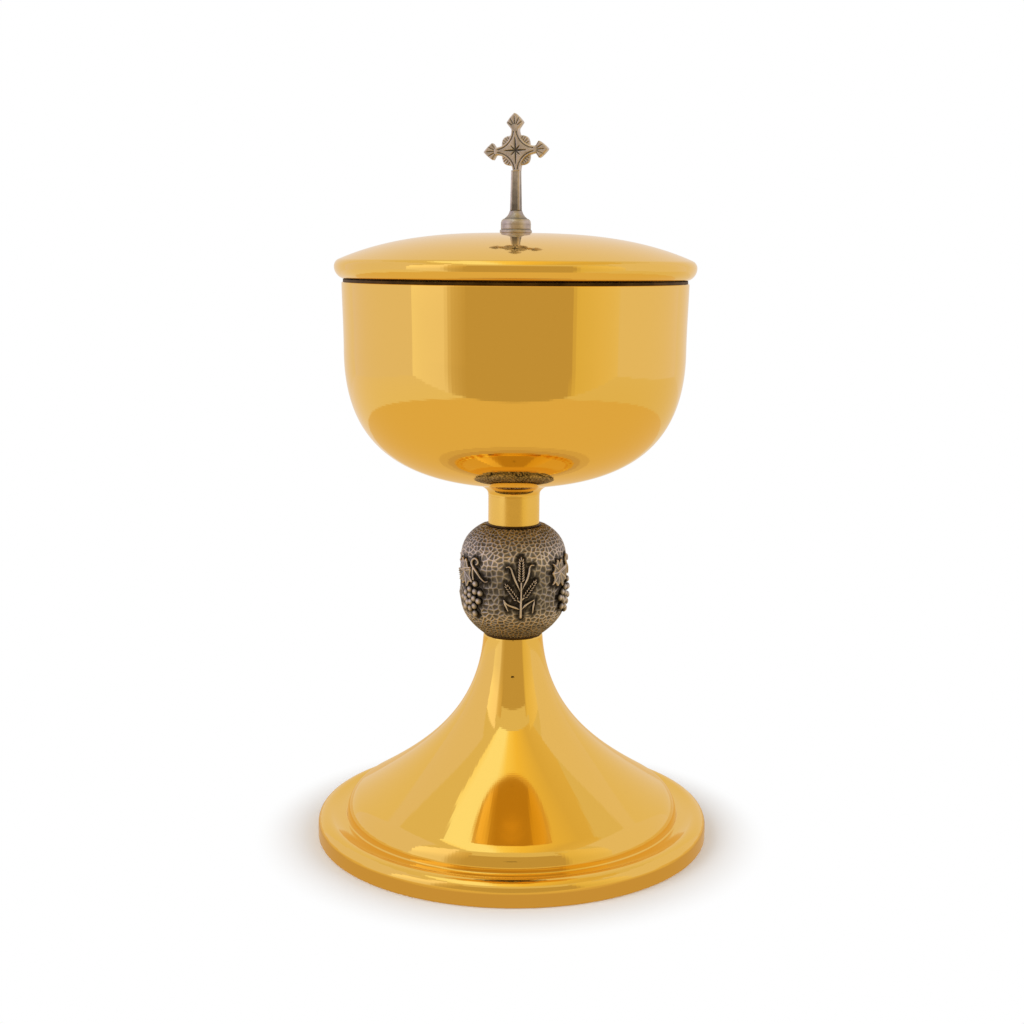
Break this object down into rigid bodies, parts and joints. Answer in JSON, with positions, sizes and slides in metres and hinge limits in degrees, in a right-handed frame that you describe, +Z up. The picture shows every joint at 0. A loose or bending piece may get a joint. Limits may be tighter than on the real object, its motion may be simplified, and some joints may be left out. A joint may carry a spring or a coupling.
{
  "type": "covered cup on a stem",
  "caption": "Gold-plated ciborium with a domed lid, a budded cross finial, an antiqued silver knop with wheat and grapes, and a trumpet foot",
  "frame": {"origin": "centre of the foot's resting plane; front is -Y, the face of the cross", "axes": "+Z up along the stem, +X to the right when facing the cross"},
  "size_m": [0.1352, 0.1352, 0.2444],
  "materials": {
    "polished_gold": "gold plated brass, mirror polished",
    "antique_silver": "silver plated casting, darkened and rubbed back on the high spots",
    "dark_silver": "darkened silver plate",
    "plain_brass": "turned brass",
    "plain_steel": "plain turned steel"
  },
  "bodies": {
    "stand": {"foot_shell": "polished_gold", "foot_rim_ring": "plain_brass", "knop_bottom_ring": "dark_silver", "knop": "antique_silver", "knop_sleeve": "plain_brass", "knop_top_ring": "dark_silver", "stem_collar": "polished_gold", "cup_boss": "polished_gold", "cup_bowl": "polished_gold", "stem_rod": "plain_steel", "clamp_washer": "plain_steel", "spring_washer": "plain_steel", "clamp_nut": "plain_steel"},
    "lid": {"lid_dome": "polished_gold", "lid_flange": "polished_gold", "finial_bell": "antique_silver", "finial_cross": "antique_silver", "finial_stud": "plain_steel", "finial_washer": "plain_brass", "finial_nut": "plain_brass"}
  },
  "joints": [
    {"name": "lid_lift", "type": "slide", "parent": "stand", "child": "lid", "axis": [0, 0, 1], "range_m": [0, 0.12]}
  ]
}
